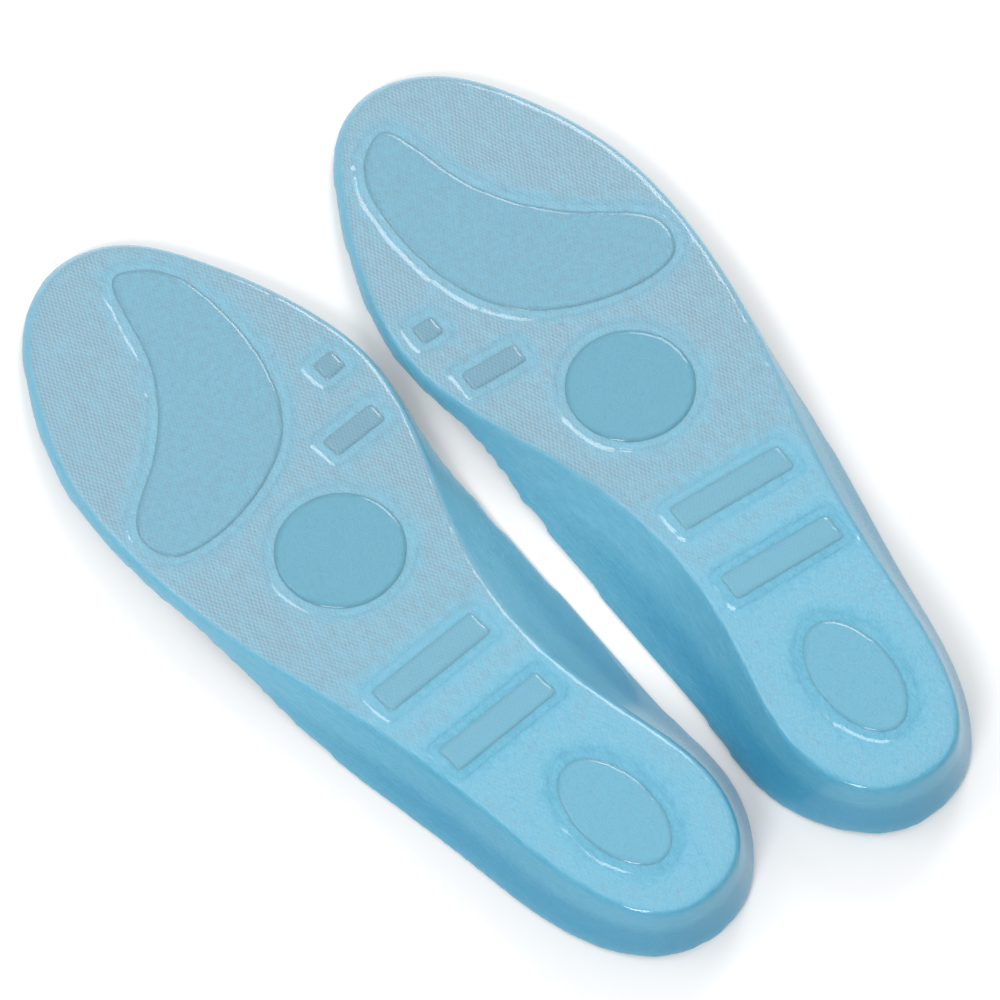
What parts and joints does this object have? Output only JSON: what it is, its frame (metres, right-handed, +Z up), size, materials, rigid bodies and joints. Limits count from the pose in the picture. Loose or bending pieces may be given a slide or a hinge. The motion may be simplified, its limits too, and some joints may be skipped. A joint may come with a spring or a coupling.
{
  "type": "cushioned insole pair",
  "caption": "Pair of translucent blue gel insoles with heel cup, arch flange and raised pads, underside up.",
  "frame": {"origin": "centre of the pair's bounding box, on the surface that the insoles lie on", "axes": "+Y from the heels to the toes, +Z up, with the insoles underside up; the left-foot insole is at +X"},
  "size_m": [0.1874, 0.2762, 0.0197],
  "materials": {
    "base_gel": "translucent gloss",
    "pad_gel": "translucent gloss",
    "knit": "fine knit"
  },
  "bodies": {
    "left_insole": {"left_gel_base": "base_gel", "left_top_cover": "knit", "left_forefoot_pad": "pad_gel", "left_metatarsal_pad": "pad_gel", "left_ball_square_pad": "pad_gel", "left_ball_bar_pad": "pad_gel", "left_arch_rib_front": "pad_gel", "left_arch_rib_rear": "pad_gel", "left_heel_pad": "pad_gel"},
    "right_insole": {"right_gel_base": "base_gel", "right_top_cover": "knit", "right_forefoot_pad": "pad_gel", "right_metatarsal_pad": "pad_gel", "right_ball_square_pad": "pad_gel", "right_ball_bar_pad": "pad_gel", "right_arch_rib_front": "pad_gel", "right_arch_rib_rear": "pad_gel", "right_heel_pad": "pad_gel"}
  },
  "joints": [
    {"name": "lift_left", "type": "slide", "parent": "right_insole", "child": "left_insole", "axis": [0, 0, 1], "range_m": [0, 0.08]}
  ]
}
